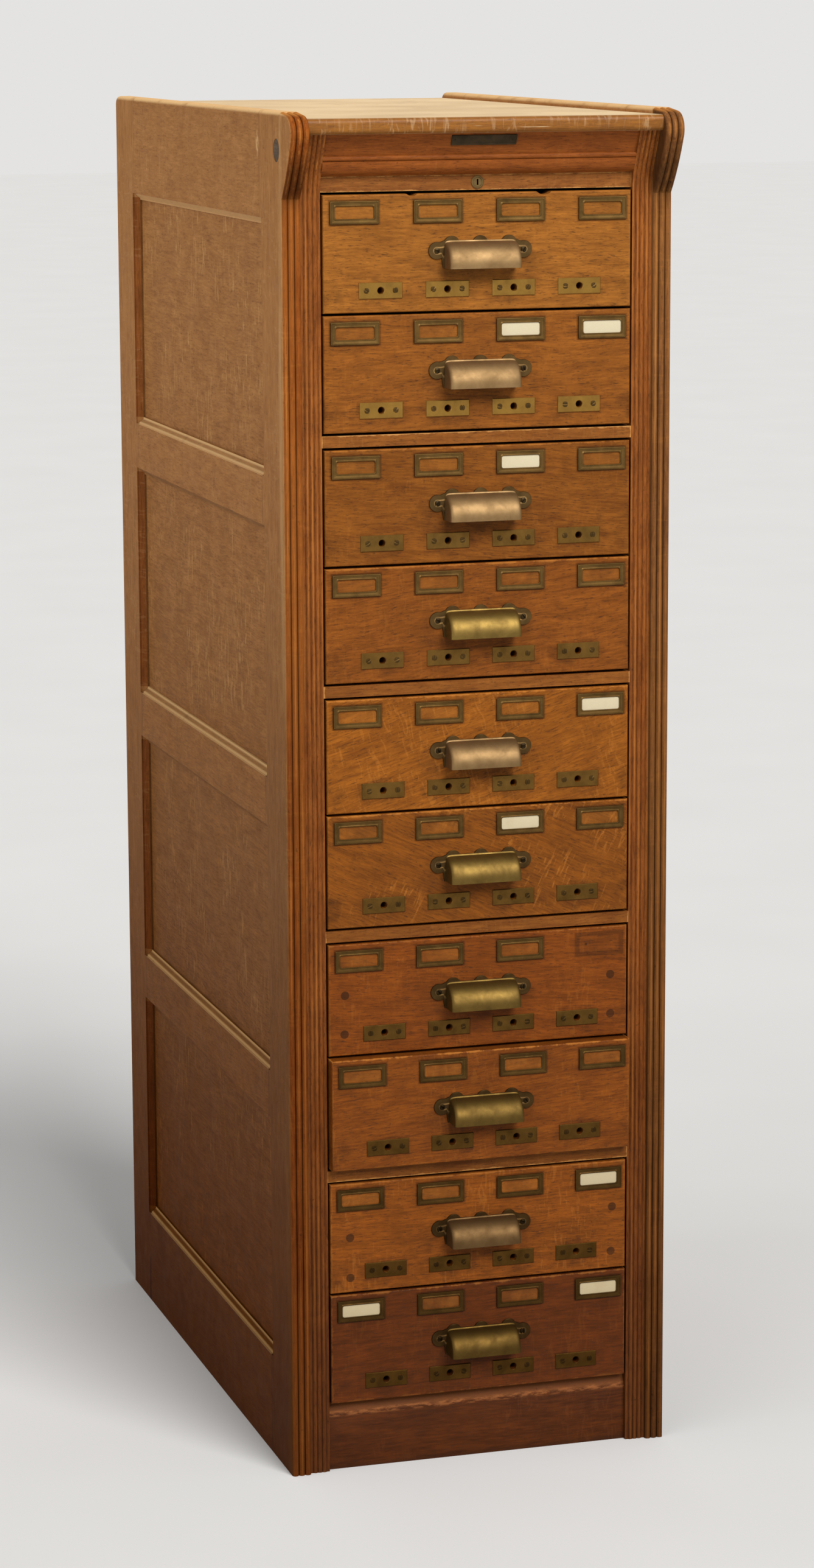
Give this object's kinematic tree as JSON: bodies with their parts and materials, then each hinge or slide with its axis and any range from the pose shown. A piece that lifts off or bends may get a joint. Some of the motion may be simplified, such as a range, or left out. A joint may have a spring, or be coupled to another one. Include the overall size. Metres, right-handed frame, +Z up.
{
  "type": "card index cabinet",
  "caption": "Tall oak card index cabinet: pairs of drawers with cup pulls, label frames and rod plates between panelled gables with reeded, corbelled front edges.",
  "frame": {"origin": "on the floor, under the middle of the cabinet's box", "axes": "+Z up, the drawers' fronts face -Y, +X to the right seen from the front"},
  "size_m": [0.39, 0.721, 1.337],
  "materials": {
    "drawer_front_oak": "aged shellac over quarter-sawn oak",
    "gable_oak": "worn, dull finish on oak",
    "panel_oak": "worn, dull finish on oak with ray fleck",
    "pilaster_oak": "dark aged varnish",
    "top_oak": "worn varnish",
    "cornice_oak": "aged varnish",
    "plinth_oak": "dark aged varnish",
    "rail_oak": "aged varnish",
    "inner_softwood": "unfinished",
    "back_wood": "unfinished",
    "plug_wood": "dull",
    "pull_brass": "antique, tarnished in the hollows",
    "fitting_brass": "tarnished",
    "name_plate_bronze": "dark patina",
    "lock_brass": "tarnished"
  },
  "bodies": {
    "cabinet": {"left_gable": "gable_oak", "right_gable": "gable_oak", "left_side_panels": "panel_oak", "right_side_panels": "panel_oak", "left_pilaster": "pilaster_oak", "right_pilaster": "pilaster_oak", "top_board": "top_oak", "cornice": "cornice_oak", "lock_rail": "cornice_oak", "name_plate": "name_plate_bronze", "plinth": "plinth_oak", "drawer_rails": "rail_oak", "drawer_runners": "inner_softwood", "bottom_board": "inner_softwood", "back_frame": "back_wood", "back_panels": "back_wood", "lock_body": "lock_brass", "gable_plug": "plug_wood"},
    "lock_plug": {"lock_plug": "lock_brass"},
    "drawer_01": {"drawer_01_front": "drawer_front_oak", "drawer_01_box": "inner_softwood", "drawer_01_pull": "pull_brass", "drawer_01_fittings": "fitting_brass"},
    "drawer_02": {"drawer_02_front": "drawer_front_oak", "drawer_02_box": "inner_softwood", "drawer_02_pull": "pull_brass", "drawer_02_fittings": "fitting_brass"},
    "drawer_03": {"drawer_03_front": "drawer_front_oak", "drawer_03_box": "inner_softwood", "drawer_03_pull": "pull_brass", "drawer_03_fittings": "fitting_brass"},
    "drawer_04": {"drawer_04_front": "drawer_front_oak", "drawer_04_box": "inner_softwood", "drawer_04_pull": "pull_brass", "drawer_04_fittings": "fitting_brass"},
    "drawer_05": {"drawer_05_front": "drawer_front_oak", "drawer_05_box": "inner_softwood", "drawer_05_pull": "pull_brass", "drawer_05_fittings": "fitting_brass"},
    "drawer_06": {"drawer_06_front": "drawer_front_oak", "drawer_06_box": "inner_softwood", "drawer_06_pull": "pull_brass", "drawer_06_fittings": "fitting_brass"},
    "drawer_07": {"drawer_07_front": "drawer_front_oak", "drawer_07_box": "inner_softwood", "drawer_07_pull": "pull_brass", "drawer_07_fittings": "fitting_brass"},
    "drawer_08": {"drawer_08_front": "drawer_front_oak", "drawer_08_box": "inner_softwood", "drawer_08_pull": "pull_brass", "drawer_08_fittings": "fitting_brass"},
    "drawer_09": {"drawer_09_front": "drawer_front_oak", "drawer_09_box": "inner_softwood", "drawer_09_pull": "pull_brass", "drawer_09_fittings": "fitting_brass"},
    "drawer_10": {"drawer_10_front": "drawer_front_oak", "drawer_10_box": "inner_softwood", "drawer_10_pull": "pull_brass", "drawer_10_fittings": "fitting_brass"}
  },
  "joints": [
    {"name": "drawer_01_slide", "type": "slide", "parent": "cabinet", "child": "drawer_01", "axis": [0, -1, 0], "range_m": [0, 0.52]},
    {"name": "drawer_02_slide", "type": "slide", "parent": "cabinet", "child": "drawer_02", "axis": [0, -1, 0], "range_m": [0, 0.52]},
    {"name": "drawer_03_slide", "type": "slide", "parent": "cabinet", "child": "drawer_03", "axis": [0, -1, 0], "range_m": [0, 0.52]},
    {"name": "drawer_04_slide", "type": "slide", "parent": "cabinet", "child": "drawer_04", "axis": [0, -1, 0], "range_m": [0, 0.52]},
    {"name": "drawer_05_slide", "type": "slide", "parent": "cabinet", "child": "drawer_05", "axis": [0, -1, 0], "range_m": [0, 0.52]},
    {"name": "drawer_06_slide", "type": "slide", "parent": "cabinet", "child": "drawer_06", "axis": [0, -1, 0], "range_m": [0, 0.52]},
    {"name": "drawer_07_slide", "type": "slide", "parent": "cabinet", "child": "drawer_07", "axis": [0, -1, 0], "range_m": [0, 0.52]},
    {"name": "drawer_08_slide", "type": "slide", "parent": "cabinet", "child": "drawer_08", "axis": [0, -1, 0], "range_m": [-0.01, 0.51]},
    {"name": "drawer_09_slide", "type": "slide", "parent": "cabinet", "child": "drawer_09", "axis": [0, -1, 0], "range_m": [0, 0.52]},
    {"name": "drawer_10_slide", "type": "slide", "parent": "cabinet", "child": "drawer_10", "axis": [0, -1, 0], "range_m": [0, 0.52]},
    {"name": "lock_plug_turn", "type": "hinge", "parent": "cabinet", "child": "lock_plug", "pos_m": [0.0005, -0.3175, 1.2688], "axis": [0, -1, 0], "range_deg": [0, 90]}
  ]
}
